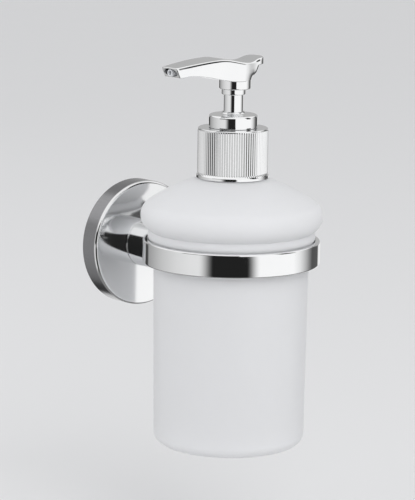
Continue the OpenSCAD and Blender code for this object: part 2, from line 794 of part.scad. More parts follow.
module pump_head() {
    barrel_r = barrel_d / 2;
    edge = 0.6;
    color("gainsboro") on_axis() {
        difference() {
            union() {
                head_body();
                translate([barrel_back, 0, barrel_z])
                    cylinder(r1 = barrel_r - edge, r2 = barrel_r, h = edge);
                translate([barrel_back, 0, barrel_z + edge])
                    cylinder(r = barrel_r, h = passage_z - barrel_z - edge);
            }
            difference() {
                translate([0, 0, barrel_z - cut])
                    cylinder(r = head_bore_r, h = head_bore_top_z - barrel_z + cut);
                translate([stop_pin_r, 0, stop_pin_z])
                    cylinder(r = stop_pin_r, h = passage_z - stop_pin_z);
            }
            on_passage() translate([0, 0, passage_start])
                cylinder(r = passage_d / 2, h = spout_l);
            head_mouth();
        }
    }
}

wall_bracket();
rosette();
grub_screw();
arm_bolt();
arm();
ring_stud();
holder_ring();
ring_liner();
bottle();
neck_gasket();
closure();
collar_shell();
cap();
stem_guide();
pump_housing();
inlet_ball();
return_spring();
dip_tube();
piston();
piston_rod();
stem_sleeve();
stem_ring();
outlet_ball();
outlet_insert();
pump_head();
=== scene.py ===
import bpy
import math
from mathutils import Matrix, Vector


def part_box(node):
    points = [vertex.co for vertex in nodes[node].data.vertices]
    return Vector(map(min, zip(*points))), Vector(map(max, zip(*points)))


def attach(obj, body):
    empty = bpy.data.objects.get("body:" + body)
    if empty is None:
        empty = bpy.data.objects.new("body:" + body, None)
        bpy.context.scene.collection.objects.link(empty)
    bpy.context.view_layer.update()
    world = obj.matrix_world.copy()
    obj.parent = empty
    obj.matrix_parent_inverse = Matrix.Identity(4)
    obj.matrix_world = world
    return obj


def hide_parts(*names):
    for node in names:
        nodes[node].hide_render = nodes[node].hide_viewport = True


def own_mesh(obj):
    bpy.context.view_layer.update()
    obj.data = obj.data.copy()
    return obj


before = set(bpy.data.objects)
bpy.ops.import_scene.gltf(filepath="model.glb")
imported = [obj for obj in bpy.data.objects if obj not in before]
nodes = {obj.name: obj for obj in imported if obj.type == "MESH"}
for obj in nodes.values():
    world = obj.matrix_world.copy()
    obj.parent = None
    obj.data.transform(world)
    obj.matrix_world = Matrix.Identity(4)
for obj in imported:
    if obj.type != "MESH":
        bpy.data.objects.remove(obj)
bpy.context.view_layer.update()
mm = 0.001
bottleAxis = Vector((0, (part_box("cap")[0].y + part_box("cap")[1].y) / 2, 0))  # upright, through the bottle
wallAxis = Vector((0, 0, 0))
upward, outward = Vector((0, 0, 1)), Vector((0, -1, 0))

# ---- camera

cameraSettings = {"azimuth": -41.5, "elevation": 10.6, "roll": 0.78, "lens": 180.0, "sensor": 36,
                  "near": 0.05, "distance": 1.071, "aimHeight": 4.8 * mm, "right": 0.01015, "down": 0.00047}


def placeCamera(s):
    a, e, r = (math.radians(s[k]) for k in ("azimuth", "elevation", "roll"))
    back = Vector((math.sin(a) * math.cos(e), -math.cos(a) * math.cos(e), math.sin(e)))
    right = Vector((math.cos(a), math.sin(a), 0))
    up = back.cross(right)
    right, up = right * math.cos(r) + up * math.sin(r), up * math.cos(r) - right * math.sin(r)
    bpy.ops.object.camera_add()
    camera = bpy.context.object
    camera.name = "viewCamera"
    camera.data.lens = s["lens"]
    camera.data.sensor_width = s["sensor"]
    camera.matrix_world = Matrix(((right.x, up.x, back.x, 0), (right.y, up.y, back.y, 0),
                                  (right.z, up.z, back.z, 0), (0, 0, 0, 1)))
    aim = bottleAxis + upward * s["aimHeight"]
    camera.location = aim + back * s["distance"] - right * s["right"] + up * s["down"]
    camera.data.clip_start = s["near"]
    bpy.context.scene.camera = camera


placeCamera(cameraSettings)
print("camera placed")

# ---- small helpers for modelling as by hand

past = 0.002  # how far a cutting tool reaches past the surface it enters
weldGaps = {"section": 2e-7, "turned": 1e-6, "collar": 2e-6, "head": 5e-6}


def freshStart():
    if bpy.context.mode != "OBJECT":
        bpy.ops.object.mode_set(mode="OBJECT")
    bpy.ops.object.select_all(action="DESELECT")


def pick(piece):
    freshStart()
    piece.select_set(True)
    bpy.context.view_layer.objects.active = piece
    return piece


def nameIt(name):
    piece = bpy.context.object
    piece.name = name
    piece.data.name = name
    return piece


def applyPlace():
    bpy.ops.object.transform_apply(location=True, rotation=True, scale=True)


def selectAll(action="SELECT"):
    bpy.ops.mesh.select_all(action=action)


def selectOpenEdges():
    selectAll("DESELECT")
    bpy.ops.mesh.select_non_manifold()


def weld(gap):
    selectAll()
    bpy.ops.mesh.remove_doubles(threshold=weldGaps[gap])


def closeUp():
    # turns every face outwards and leaves edit mode
    selectAll()
    bpy.ops.mesh.normals_make_consistent(inside=False)
    bpy.ops.object.mode_set(mode="OBJECT")


def settle(piece, angle=32, flatWalls=True):
    pick(piece)
    applyPlace()
    bpy.ops.object.shade_smooth_by_angle(angle=math.radians(angle))
    if flatWalls:  # keeps a flat wall flat right up to its rounded edge
        modifier = piece.modifiers.new("flatWalls", "WEIGHTED_NORMAL")
        modifier.keep_sharp = True
        bpy.ops.object.modifier_apply(modifier="flatWalls")
    return piece


def arc(cx, cz, radius, start, end, count):
    # points of an arc in a section, angles in degrees from the outward direction
    turns = [math.radians(start + (end - start) * i / count) for i in range(count + 1)]
    return [(cx + radius * math.cos(t), cz + radius * math.sin(t)) for t in turns]


def softCorners(corners, closed=True, parts=5):
    # rounds the corners of a section that name a third value, their radius
    nearlyStraight = math.radians(88)  # half of a corner's angle, past which it is left as it is
    most = 0.48  # of a side, taken by one rounding
    points = []
    count = len(corners)
    for i, corner in enumerate(corners):
        radius = corner[2] if len(corner) > 2 else 0
        if not radius or (not closed and i in (0, count - 1)):
            points.append((corner[0], corner[1]))
            continue
        here = Vector(corner[:2])
        before = Vector(corners[i - 1][:2]) - here
        after = Vector(corners[(i + 1) % count][:2]) - here
        half = before.angle(after) / 2
        if half > nearlyStraight:
            points.append(tuple(here))
            continue
        reach = min(radius / math.tan(half), before.length * most, after.length * most)
        radius = reach * math.tan(half)
        centre = here + (before.normalized() + after.normalized()).normalized() * radius / math.sin(half)
        first = here + before.normalized() * reach - centre
        last = here + after.normalized() * reach - centre
        sweep = first.angle_signed(last)
        for k in range(parts + 1):
            spoke = first.copy()
            spoke.rotate(Matrix.Rotation(-sweep * k / parts, 2))
            points.append(tuple(centre + spoke))
    return points


def tubeSection(inner, outer, foot, top, edge):
    # a plain wall with all four corners rounded
    return softCorners([(inner, foot, edge), (outer, foot, edge), (outer, top, edge), (inner, top, edge)])


def turnPiece(name, points, steps=128, closed=True, base=bottleAxis, axis=upward, across=Vector((1, 0, 0)),
              flatWalls=True):
    # draws the section by extruding one vertex from point to point, then spins it
    place = [base + across * (r * mm) + axis * (h * mm) for r, h in points]
    freshStart()
    bpy.ops.mesh.primitive_plane_add(size=mm, location=place[0])
    piece = nameIt(name)
    bpy.ops.object.mode_set(mode="EDIT")
    bpy.ops.mesh.merge(type="CENTER")
    for here, there in zip(place, place[1:] + (place[:1] if closed else [])):
        bpy.ops.mesh.extrude_region_move(TRANSFORM_OT_translate={"value": there - here})
    weld("section")
    selectAll()
    bpy.ops.mesh.spin(steps=steps, angle=2 * math.pi, center=base, axis=axis)
    weld("turned")
    closeUp()
    return settle(piece, flatWalls=flatWalls)


def combine(piece, tool, operation="DIFFERENCE"):
    pick(piece)
    modifier = piece.modifiers.new("shape", "BOOLEAN")
    modifier.object = tool
    modifier.operation = operation
    modifier.solver = "EXACT"
    bpy.ops.object.modifier_apply(modifier="shape")
    bpy.data.objects.remove(tool)
    return piece


def bar(name, radius, start, end, sides=64):
    # a round or many-sided bar between two points
    start, end = Vector(start), Vector(end)
    freshStart()
    bpy.ops.mesh.primitive_cylinder_add(vertices=sides, radius=radius, depth=(end - start).length,
                                        location=(start + end) / 2)
    piece = nameIt(name)
    piece.rotation_euler = (end - start).to_track_quat("Z", "Y").to_euler()
    applyPlace()
    return piece


def softenEdges(piece, chosen, width, segments=3):
    # bevels the edges that the chosen test accepts
    pick(piece)
    bpy.ops.object.mode_set(mode="EDIT")
    bpy.ops.mesh.select_mode(type="EDGE")
    selectAll("DESELECT")
    bpy.ops.object.mode_set(mode="OBJECT")
    verts = piece.data.vertices
    for edge in piece.data.edges:
        edge.select = chosen(verts[edge.vertices[0]].co, verts[edge.vertices[1]].co)
    bpy.ops.object.mode_set(mode="EDIT")
    bpy.ops.mesh.bevel(offset=width, segments=segments, affect="EDGES")
    bpy.ops.mesh.select_mode(type="VERT")
    bpy.ops.object.mode_set(mode="OBJECT")
    return piece


def size(node):
    # a node's box in millimetres: half its width, its heights and its distances from the wall
    low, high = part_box(node)
    return {"radius": (high.x - low.x) / 2 / mm, "foot": low.z / mm, "top": high.z / mm,
            "near": -high.y / mm, "far": -low.y / mm}


def mount(piece, body, node, material):
    # gives a piece its body and its material, and hides the node whose place it takes
    piece.data.materials.clear()
    piece.data.materials.append(material)
    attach(piece, body)
    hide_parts(node)
    return piece


# ---- shared effects, each one a node group used by several materials

effectSettings = {"cloudDetail": 4.0, "cloudFrom": 0.35, "cloudTo": 0.65, "roughFrom": 0.3, "roughTo": 0.7,
                  "grainDetail": 2.0, "grainDepth": 0.0001, "waveScale": 90.0, "waveDepth": 0.0004,
                  "strokeStretch": (60, 60, 2400), "strokeDepth": 0.00002, "strokeFrom": 0.45,
                  "strokeTo": 0.7}


def feed(tree, socket, value):
    # sets a socket, or links another node's output to it
    if isinstance(value, bpy.types.NodeSocket):
        tree.links.new(value, socket)
    else:
        socket.default_value = value


def addNode(tree, kind, given, operation=None):
    node = tree.nodes.new("ShaderNode" + kind)
    if operation:
        node.operation = operation
    if kind == "Mix":
        node.data_type = "RGBA"
    for label, value in given.items():
        feed(tree, node.inputs[label], value)
    return node


def newGroup(name, inputs, outputs):
    group = bpy.data.node_groups.new(name, "ShaderNodeTree")
    for label, kind, value in inputs:
        socket = group.interface.new_socket(name=label, in_out="INPUT", socket_type="NodeSocket" + kind)
        socket.default_value = value
    for label, kind in outputs:
        group.interface.new_socket(name=label, in_out="OUTPUT", socket_type="NodeSocket" + kind)
    return group, group.nodes.new("NodeGroupInput").outputs, group.nodes.new("NodeGroupOutput").inputs


def noiseIn(group, scale, detail, stretch=None):
    # a noise in the piece's own space, stretched along its directions when asked
    spot = addNode(group, "TexCoord", {}).outputs["Object"]
    if stretch:
        spot = addNode(group, "Mapping", {"Vector": spot, "Scale": stretch}).outputs["Vector"]
    return addNode(group, "TexNoise", {"Vector": spot, "Scale": scale, "Detail": detail}).outputs["Fac"]


def rangeIn(tree, source, low, high, toLow=0.0, toHigh=1.0):
    return addNode(tree, "MapRange", {"Value": source, "From Min": low, "From Max": high, "To Min": toLow,
                                      "To Max": toHigh}).outputs["Result"]


def bumpIn(group, strength, depth, height, **under):
    return addNode(group, "Bump", {"Strength": strength, "Distance": depth, "Height": height,
                                   **under}).outputs["Normal"]


def blendIn(tree, factor, first, second):
    return addNode(tree, "Mix", {"Factor": factor, "A": first, "B": second}).outputs["Result"]


def buildHaze(s):
    # soft clouds that move roughness and colour a little, as wiped water leaves on chrome and plastic
    inputs = [("Color", "Color", (0.9, 0.9, 0.9, 1)), ("Tint", "Color", (0.8, 0.8, 0.8, 1)),
              ("Scale", "Float", 60.0), ("Low", "Float", 0.03), ("High", "Float", 0.06),
              ("Spread", "Float", 0.3)]
    group, given, out = newGroup("wipedHaze", inputs, [("Color", "Color"), ("Roughness", "Float")])
    noise = noiseIn(group, given["Scale"], s["cloudDetail"])
    cloud = rangeIn(group, noise, s["cloudFrom"], s["cloudTo"])
    amount = addNode(group, "Math", {0: cloud, 1: given["Spread"]}, "MULTIPLY").outputs["Value"]
    rough = rangeIn(group, noise, s["roughFrom"], s["roughTo"], given["Low"], given["High"])
    feed(group, out["Color"], blendIn(group, amount, given["Color"], given["Tint"]))
    feed(group, out["Roughness"], rough)
    return group


def buildGrain(s):
    # fine grain for satin glass, moulded plastic, rubber and cast zinc
    group, given, out = newGroup("fineGrain", [("Scale", "Float", 1500.0), ("Strength", "Float", 0.1),
                                               ("Waves", "Float", 0.05)], [("Normal", "Vector")])
    grain = noiseIn(group, given["Scale"], s["grainDetail"])
    waves = noiseIn(group, s["waveScale"], s["grainDetail"])
    fine = bumpIn(group, given["Strength"], s["grainDepth"], grain)
    feed(group, out["Normal"], bumpIn(group, given["Waves"], s["waveDepth"], waves, Normal=fine))
    return group


def buildStrokes(s):
    # hairline polishing strokes round a turned piece, seen only as a faint unevenness
    group, given, out = newGroup("polishStrokes", [("Strength", "Float", 0.02), ("Fineness", "Float", 1.0)],
                                 [("Normal", "Vector"), ("Mask", "Float")])
    noise = noiseIn(group, given["Fineness"], s["grainDetail"], s["strokeStretch"])
    feed(group, out["Normal"], bumpIn(group, given["Strength"], s["strokeDepth"], noise))
    feed(group, out["Mask"], rangeIn(group, noise, s["strokeFrom"], s["strokeTo"]))
    return group


def buildSpan():
    # a mask that runs from 0 to 1 between two places along one direction of the object
    group, given, out = newGroup("spanMask", [("Direction", "Vector", (0, 0, 1)), ("Start", "Float", 0.0),
                                              ("End", "Float", 1.0)], [("Mask", "Float")])
    spot = addNode(group, "TexCoord", {}).outputs["Object"]
    along = addNode(group, "VectorMath", {0: spot, 1: given["Direction"]}, "DOT_PRODUCT").outputs["Value"]
    feed(group, out["Mask"], rangeIn(group, along, given["Start"], given["End"]))
    return group


wipedHaze, fineGrain = buildHaze(effectSettings), buildGrain(effectSettings)
polishStrokes, spanMask = buildStrokes(effectSettings), buildSpan()


def placeGroup(tree, group, **values):
    node = tree.nodes.new("ShaderNodeGroup")
    node.node_tree = group
    for label, value in values.items():
        feed(tree, node.inputs[label], value)
    return node


def newMaterial(name, metallic=0.0, specular=0.5):
    material = bpy.data.materials.new(name)
    material.use_nodes = True
    shader = material.node_tree.nodes["Principled BSDF"]
    shader.inputs["Metallic"].default_value = metallic
    shader.inputs["Specular IOR Level"].default_value = specular
    return material, material.node_tree, shader.inputs


def addHaze(tree, shader, color, tint, low, high, spread=0.3, scale=60.0):
    # clouds over a material's colour and roughness
    haze = placeGroup(tree, wipedHaze, Color=(*color, 1), Tint=(*tint, 1), Scale=scale, Low=low, High=high,
                      Spread=spread).outputs
    feed(tree, shader["Base Color"], haze["Color"])
    feed(tree, shader["Roughness"], haze["Roughness"])
    return haze["Color"]


def letLightIn(shader, weight, depth):
    shader["Subsurface Weight"].default_value = weight
    shader["Subsurface Radius"].default_value = (depth, depth, depth)
    shader["Subsurface Scale"].default_value = 1.0


def metalFinish(name, color, tint, low, high, spread=0.3, scale=60.0, strokes=0.02, grain=None):
    material, tree, shader = newMaterial(name, metallic=1.0)
    addHaze(tree, shader, color, tint, low, high, spread, scale)
    effect, values = (fineGrain, grain) if grain else (polishStrokes, {"Strength": strokes})
    feed(tree, shader["Normal"], placeGroup(tree, effect, **values).outputs["Normal"])
    return material


def rosetteFinish(s):
    # polished face with painted shade, darker towards its top in place of a darker reflection there, and a finely
    # turned, duller side wall
    material, tree, shader = newMaterial("rosetteChrome", metallic=1.0)
    clouds = addHaze(tree, shader, s["color"], s["tint"], s["low"], s["high"])

    def span(direction, start, end):
        return placeGroup(tree, spanMask, Direction=direction, Start=start, End=end).outputs["Mask"]

    # painted shade: the face's colour darkens towards its top, standing in for a darker reflection there
    paintedShade = span((0, 0, 1), s["paintedShadeFrom"], s["paintedShadeTo"])
    side = span((0, 1, 0), s["sideFrom"], s["sideTo"])
    lines = placeGroup(tree, polishStrokes, Strength=side, Fineness=s["fineness"]).outputs
    face = blendIn(tree, paintedShade, clouds, (*s["paintedShade"], 1))
    wall = blendIn(tree, lines["Mask"], (*s["side"], 1), (*s["sideTint"], 1))
    feed(tree, shader["Base Color"], blendIn(tree, side, face, wall))
    feed(tree, shader["Roughness"], rangeIn(tree, side, 0.0, 1.0, s["high"], s["sideRough"]))
    feed(tree, shader["Normal"], lines["Normal"])
    return material


def plasticFinish(name, color, tint, low, high, grain, specular=0.45, subsurface=0.0):
    material, tree, shader = newMaterial(name, specular=specular)
    addHaze(tree, shader, color, tint, low, high, spread=0.5, scale=45.0)
    if subsurface:
        letLightIn(shader, subsurface, 0.004)
    feed(tree, shader["Normal"], placeGroup(tree, fineGrain, **grain).outputs["Normal"])
    return material


def frostedFinish(s):
    material, tree, shader = newMaterial("satinFrostedGlass", specular=0.5)
    addHaze(tree, shader, s["color"], s["tint"], s["low"], s["high"], s["spread"], s["scale"])
    feed(tree, shader["Normal"], placeGroup(tree, fineGrain, **s["grain"]).outputs["Normal"])
    letLightIn(shader, s["subsurface"], s["lightDepth"])
    for label in ("Transmission Weight", "IOR", "Sheen Weight", "Sheen Roughness"):
        shader[label].default_value = s[label]
    return material


def grainOf(scale, strength, waves):
    return {"Scale": scale, "Strength": strength, "Waves": waves}


polishedChrome = metalFinish("polishedChrome", (0.93, 0.935, 0.94), (0.86, 0.87, 0.88), 0.02, 0.05)
# painted shade: the top of the rosette's face is coloured darker, in place of a darker reflection
rosetteChrome = rosetteFinish({"color": (0.92, 0.925, 0.93), "tint": (0.86, 0.87, 0.88), "low": 0.05,
                               "high": 0.08, "paintedShade": (0.84, 0.845, 0.85), "paintedShadeFrom": -0.024,
                               "paintedShadeTo": 0.016, "side": (0.32, 0.32, 0.33), "sideTint": (0.29, 0.29, 0.3),
                               "sideFrom": -0.0084, "sideTo": -0.0078, "sideRough": 0.16, "fineness": 3.0})
zincCasting = metalFinish("platedZinc", (0.52, 0.54, 0.56), (0.36, 0.37, 0.39), 0.32, 0.5, spread=0.7,
                          scale=140.0, grain=grainOf(900.0, 0.5, 0.1))
stainless = metalFinish("plainStainless", (0.55, 0.56, 0.58), (0.4, 0.41, 0.43), 0.2, 0.34, spread=0.5,
                        strokes=0.2)
brightSteel = metalFinish("brightSteel", (0.68, 0.69, 0.71), (0.55, 0.56, 0.58), 0.08, 0.16, spread=0.4,
                          strokes=0.05)
frostedGlass = frostedFinish({"color": (0.885, 0.89, 0.905), "tint": (0.865, 0.87, 0.88), "scale": 30.0,
                              "low": 0.42, "high": 0.5, "spread": 0.5, "grain": grainOf(2200.0, 0.1, 0.02),
                              "subsurface": 0.5, "lightDepth": 0.006, "Transmission Weight": 0.15, "IOR": 1.45,
                              "Sheen Weight": 0.15, "Sheen Roughness": 0.6})
whitePlastic = plasticFinish("whitePlastic", (0.82, 0.82, 0.81), (0.76, 0.76, 0.75), 0.3, 0.42,
                             grainOf(1500.0, 0.12, 0.05))
naturalPlastic = plasticFinish("naturalPlastic", (0.74, 0.75, 0.76), (0.68, 0.69, 0.7), 0.34, 0.46,
                               grainOf(1300.0, 0.15, 0.08), subsurface=0.2)
softPlastic = plasticFinish("softPistonPlastic", (0.62, 0.64, 0.68), (0.54, 0.56, 0.6), 0.38, 0.52,
                            grainOf(1300.0, 0.15, 0.08))
blackRubber = plasticFinish("gasketRubber", (0.04, 0.04, 0.042), (0.07, 0.07, 0.072), 0.6, 0.75,
                            grainOf(1700.0, 0.35, 0.1), specular=0.35)
palePlastic = plasticFinish("paleOutletPlastic", (0.72, 0.73, 0.75), (0.62, 0.63, 0.66), 0.2, 0.3,
                            grainOf(1500.0, 0.08, 0.04))
print("materials ready")

# ---- wall side

rosetteSettings = {"wall": 1.8, "faceEdge": 1.3, "backEdge": 0.35, "insideEdge": 0.8, "rimEdge": 0.2,
                   "boltHole": 3.05, "grubHole": 2.05}


def crossHole(piece, radius, outside, sides):
    # the grub screw's hole, up through the rim of a piece with this outer radius
    low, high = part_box("grub_screw")
    y = (low.y + high.y) / 2
    tool = bar("holeTool", radius * mm, (0, y, -(outside + 1) * mm), (0, y, -(outside - 4) * mm), sides)
    return combine(piece, tool)


def makeRosette(s):
    r, t = size("rosette")["radius"], size("rosette")["far"]
    inside = r - s["wall"]
    section = softCorners([(s["boltHole"], t - s["wall"]), (inside, t - s["wall"], s["insideEdge"]),
                           (inside, 0, s["rimEdge"]), (r, 0, s["backEdge"]), (r, t, s["faceEdge"]),
                           (s["boltHole"], t)], parts=7)
    piece = turnPiece("rosetteShell", section, steps=192, base=wallAxis, axis=outward)
    settle(crossHole(piece, s["grubHole"], r, 48))
    return mount(piece, "holder", "rosette", rosetteChrome)


bracketSettings = {"plate": 2.2, "rim": 2.4, "edge": 0.4, "plateEdge": 1.0, "screwHole": 2.5,
                   "screwSpacing": 30.0, "sink": 4.2, "sinkDepth": 0.9, "grubHole": 1.25}


def makeBracket(s):
    box = size("wall_bracket")
    r, t = box["radius"], box["far"]
    section = softCorners([(0, 0), (r, 0, s["edge"]), (r, t, s["edge"]), (r - s["rim"], t, s["edge"]),
                           (r - s["rim"], s["plate"], s["plateEdge"]), (0, s["plate"])], closed=False)
    piece = turnPiece("wallBracket", section, closed=False, steps=96, base=wallAxis, axis=outward)
    face = -s["plate"] * mm
    for side in (-1, 1):
        x = side * s["screwSpacing"] / 2 * mm
        combine(piece, bar("holeTool", s["screwHole"] * mm, (x, past, 0), (x, face - past, 0), 40))
        freshStart()
        bpy.ops.mesh.primitive_cone_add(vertices=40, radius1=s["sink"] * mm, radius2=s["screwHole"] * mm,
                                        depth=2 * s["sinkDepth"] * mm, location=(x, face, 0),
                                        rotation=(math.radians(-90), 0, 0))
        applyPlace()
        combine(piece, nameIt("sinkTool"))
    settle(crossHole(piece, s["grubHole"], r, 32))
    return mount(piece, "holder", "wall_bracket", zincCasting)


screwSettings = {"socket": 1.0, "socketDepth": 1.0, "tip": 1.2, "edge": 0.25, "tipEdge": 0.3, "shoulder": 0.1}


def makeGrubScrew(s):
    low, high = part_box("grub_screw")
    r = (high.x - low.x) / 2 / mm
    base = Vector((0, (low.y + high.y) / 2, 0))
    shoulder = size("rosette")["radius"] - rosetteSettings["wall"]
    section = softCorners([(0, low.z / mm), (r, low.z / mm, s["edge"]), (r, -shoulder, s["edge"]),
                           (s["tip"], -shoulder + s["shoulder"]), (s["tip"], high.z / mm, s["tipEdge"]),
                           (0, high.z / mm)], closed=False)
    piece = turnPiece("grubScrew", section, closed=False, steps=48, base=base)
    combine(piece, bar("socketTool", s["socket"] * mm, (0, base.y, low.z - mm),
                       (0, base.y, low.z + s["socketDepth"] * mm), 6))
    settle(piece)
    return mount(piece, "holder", "grub_screw", stainless)


boltSettings = {"headHeight": 2.4, "headEdge": 0.4, "neckEdge": 0.15, "shank": 3.0, "socket": 1.68,
                "socketDepth": 1.44, "groove": 0.18, "pitch": 1.0, "threadFrom": 2.0, "threadSpare": 3.0,
                "endIn": 0.4, "endUp": 0.5}


def makeArmBolt(s):
    box = size("arm_bolt")
    start, end = box["near"], box["far"]
    neck = start + s["headHeight"]
    thread = []
    turns = int((end - neck - s["threadSpare"]) / s["pitch"])
    for i in range(turns):  # plain grooves stand for the thread
        h = neck + s["threadFrom"] + i * s["pitch"]
        thread += [(s["shank"], h), (s["shank"] - s["groove"], h + s["pitch"] / 2)]
    section = softCorners([(0, start), (box["radius"], start, s["headEdge"]),
                           (box["radius"], neck, s["neckEdge"]), (s["shank"], neck)], closed=False)
    section += thread + [(s["shank"], end - s["endUp"]), (s["shank"] - s["endIn"], end), (0, end)]
    piece = turnPiece("armBolt", section, closed=False, steps=64, base=wallAxis, axis=outward)
    combine(piece, bar("socketTool", s["socket"] * mm, (0, (1 - start) * mm, 0),
                       (0, (-start - s["socketDepth"]) * mm, 0), 6))
    settle(piece)
    return mount(piece, "holder", "arm_bolt", stainless)


armSettings = {"bore": 3.05, "wallEdge": 0.4}


def makeArm(s):
    box = size("arm")
    section = softCorners([(s["bore"], box["near"]), (box["radius"], box["near"], s["wallEdge"]),
                           (box["radius"], box["far"]), (s["bore"], box["far"])])
    piece = turnPiece("arm", section, steps=160, base=wallAxis, axis=outward)
    return mount(piece, "holder", "arm", polishedChrome)


makeRosette(rosetteSettings)
makeBracket(bracketSettings)
makeGrubScrew(screwSettings)
makeArmBolt(boltSettings)
makeArm(armSettings)
print("wall side modelled")

# ---- ring and liner

ringSettings = {"height": 10.2, "wall": 2.2, "edge": 0.8, "insideEdge": 0.35, "lip": 1.6, "lipIn": 4.0,
                "lipEdge": 0.3, "seatEdge": 0.2, "stubIn": 1.1, "stubJoin": 0.4, "studHole": 3.05,
                "studDepth": 3.86}


def makeRing(s):
    ringRadius = size("holder_ring")["radius"]
    bottom = size("ring_liner")["foot"] - s["lip"]
    seat, top = bottom + s["lip"], bottom + s["height"]
    inner, lip = ringRadius - s["wall"], ringRadius - s["lipIn"]
    section = softCorners([(lip, bottom, s["lipEdge"]), (ringRadius, bottom, s["edge"]),
                           (ringRadius, top, s["edge"]), (inner, top, s["insideEdge"]),
                           (inner, seat, s["seatEdge"]), (lip, seat, s["lipEdge"])], parts=7)
    piece = turnPiece("holderRing", section, steps=224)
    armBox = size("arm")
    seam = -armBox["far"] * mm
    end = bottleAxis.y + (inner + s["stubJoin"]) * mm
    stub = bar("ringStub", armBox["radius"] * mm, (0, seam, 0), (0, end, 0), 160)
    reach = 0.03  # well above and below the stub
    combine(stub, bar("hollowTool", (ringRadius - s["stubIn"]) * mm, (0, bottleAxis.y, -reach),
                      (0, bottleAxis.y, reach), 224))
    combine(stub, bar("holeTool", s["studHole"] * mm, (0, seam + past, 0),
                      (0, seam - s["studDepth"] * mm, 0), 48))
    combine(piece, stub, "UNION")
    settle(piece)
    return mount(piece, "holder", "holder_ring", polishedChrome)


linerSettings = {"inner": 33.6, "edge": 0.5}


def makeLiner(s):
    box = size("ring_liner")
    section = tubeSection(s["inner"], box["radius"], box["foot"], box["top"], s["edge"])
    return mount(turnPiece("ringLiner", section, steps=160), "holder", "ring_liner", naturalPlastic)


makeRing(ringSettings)
makeLiner(linerSettings)
print("ring modelled")

# ---- bottle

bottleSettings = {"baseRadius": 32.5, "baseEdge": 5.0, "bodyRadius": 33.3, "coreRadius": 34.3, "glass": 3.0,
                  "floor": 6.0, "dishRadius": 21.0, "dishDepth": 0.8, "dishSoft": 1.2, "dishEdge": 0.8,
                  "stepUp": 84.0, "stepEdge": 0.3, "beadOut": 1.6, "bead": 3.8, "beadUp": 7.1, "bulgeOut": 4.7,
                  "bulge": 7.0, "bulgeUp": 15.6, "waistTurn": 7.0, "waistEdge": 1.6, "shoulder": 86.0,
                  "shoulderAngle": 55.5, "neckRelief": 12.3, "reliefEdge": 0.9, "neckLand": 12.9,
                  "landFoot": 0.2, "landEdge": 0.3, "landLength": 12.0, "rimEdge": 0.8, "bore": 10.0,
                  "boreEdge": 6.0, "insideWaist": 5.0, "insideEdge": 2.0, "insideStep": 1.5, "insideFoot": 4.5}


def makeBottle(s):
    foot, rim = size("bottle")["foot"], size("bottle")["top"]
    step = foot + s["stepUp"]
    core = s["coreRadius"]
    beadAt = (core + s["beadOut"] - s["bead"], step + s["beadUp"])
    bulgeAt = (core + s["bulgeOut"] - s["bulge"], step + s["bulgeUp"])
    a = s["shoulderAngle"]
    reach = s["shoulder"] - s["bulge"]
    slope = math.radians(a)
    shoulderAt = (bulgeAt[0] - reach * math.cos(slope), bulgeAt[1] - reach * math.sin(slope))
    # where the bead's round meets the bulge's
    line = Vector(bulgeAt) - Vector(beadAt)
    along = (line.length ** 2 + s["bead"] ** 2 - s["bulge"] ** 2) / (2 * line.length)
    side = math.sqrt(s["bead"] ** 2 - along ** 2)
    unit = line.normalized()
    meet = Vector(beadAt) + unit * along + Vector((unit.y, -unit.x)) * side
    beadEnd = math.degrees(math.atan2(meet.y - beadAt[1], meet.x - beadAt[0]))
    bulgeStart = math.degrees(math.atan2(meet.y - bulgeAt[1], meet.x - bulgeAt[0]))
    beadStart = -math.degrees(math.acos((core - beadAt[0]) / s["bead"]))
    neckAngle = math.degrees(math.acos((s["neckRelief"] - shoulderAt[0]) / s["shoulder"]))
    soft = s["waistTurn"]  # degrees left out of both rounds, where the waist is rounded instead
    dish, land = foot + s["dishDepth"], rim - s["landLength"]
    outer = softCorners([(0, dish), (s["dishRadius"] - 1, dish, s["dishSoft"]),
                         (s["dishRadius"], foot, s["dishEdge"]), (s["baseRadius"], foot, s["baseEdge"]),
                         (s["bodyRadius"], step, s["stepEdge"]), (core, step, s["stepEdge"]),
                         (core, beadAt[1] + 0.4)], closed=False, parts=9)[:-1]
    outer += arc(*beadAt, s["bead"], beadStart, beadEnd - soft, 9)
    waist = [outer[-1], tuple(meet)] + arc(*bulgeAt, s["bulge"], bulgeStart + soft * 0.6, a, 22)
    outer += softCorners([waist[0], (*waist[1], s["waistEdge"]), waist[2]], closed=False)[1:-1]
    outer += waist[2:]
    outer += arc(*shoulderAt, s["shoulder"], a, neckAngle - 1.0, 18)[1:]
    neckFoot = outer[-1][1] + 0.5
    outer += softCorners([outer[-1], (s["neckRelief"], neckFoot, s["reliefEdge"]),
                          (s["neckRelief"], land, s["landFoot"]), (s["neckLand"], land, s["landEdge"]),
                          (s["neckLand"], rim, s["rimEdge"]), (s["bore"], rim, s["rimEdge"]),
                          (s["bore"], rim - s["boreEdge"])], closed=False)[1:]
    glass = s["glass"]
    inSpan = s["shoulder"] - glass
    boreAngle = math.degrees(math.acos((s["bore"] - shoulderAt[0]) / inSpan))
    inner = arc(*shoulderAt, inSpan, boreAngle - 1.2, a, 12)
    inner += arc(*bulgeAt, s["bulge"] - glass, a, -75, 12)[1:]
    inner += softCorners([inner[-1], (core - glass, bulgeAt[1] - s["insideWaist"], s["insideEdge"]),
                          (core - glass, step + glass, s["insideStep"]),
                          (s["bodyRadius"] - glass, step + glass - 1.2, s["insideEdge"]),
                          (s["baseRadius"] - glass, foot + s["floor"], s["insideFoot"]),
                          (0, foot + s["floor"])], closed=False, parts=6)[1:]
    piece = turnPiece("bottle", outer + inner, closed=False, steps=192, flatWalls=False)
    return mount(piece, "bottle", "bottle", frostedGlass)


makeBottle(bottleSettings)
print("bottle modelled")

# ---- gasket, closure, collar and cap

gasketSettings = {"bore": 8.5, "edge": 0.3}


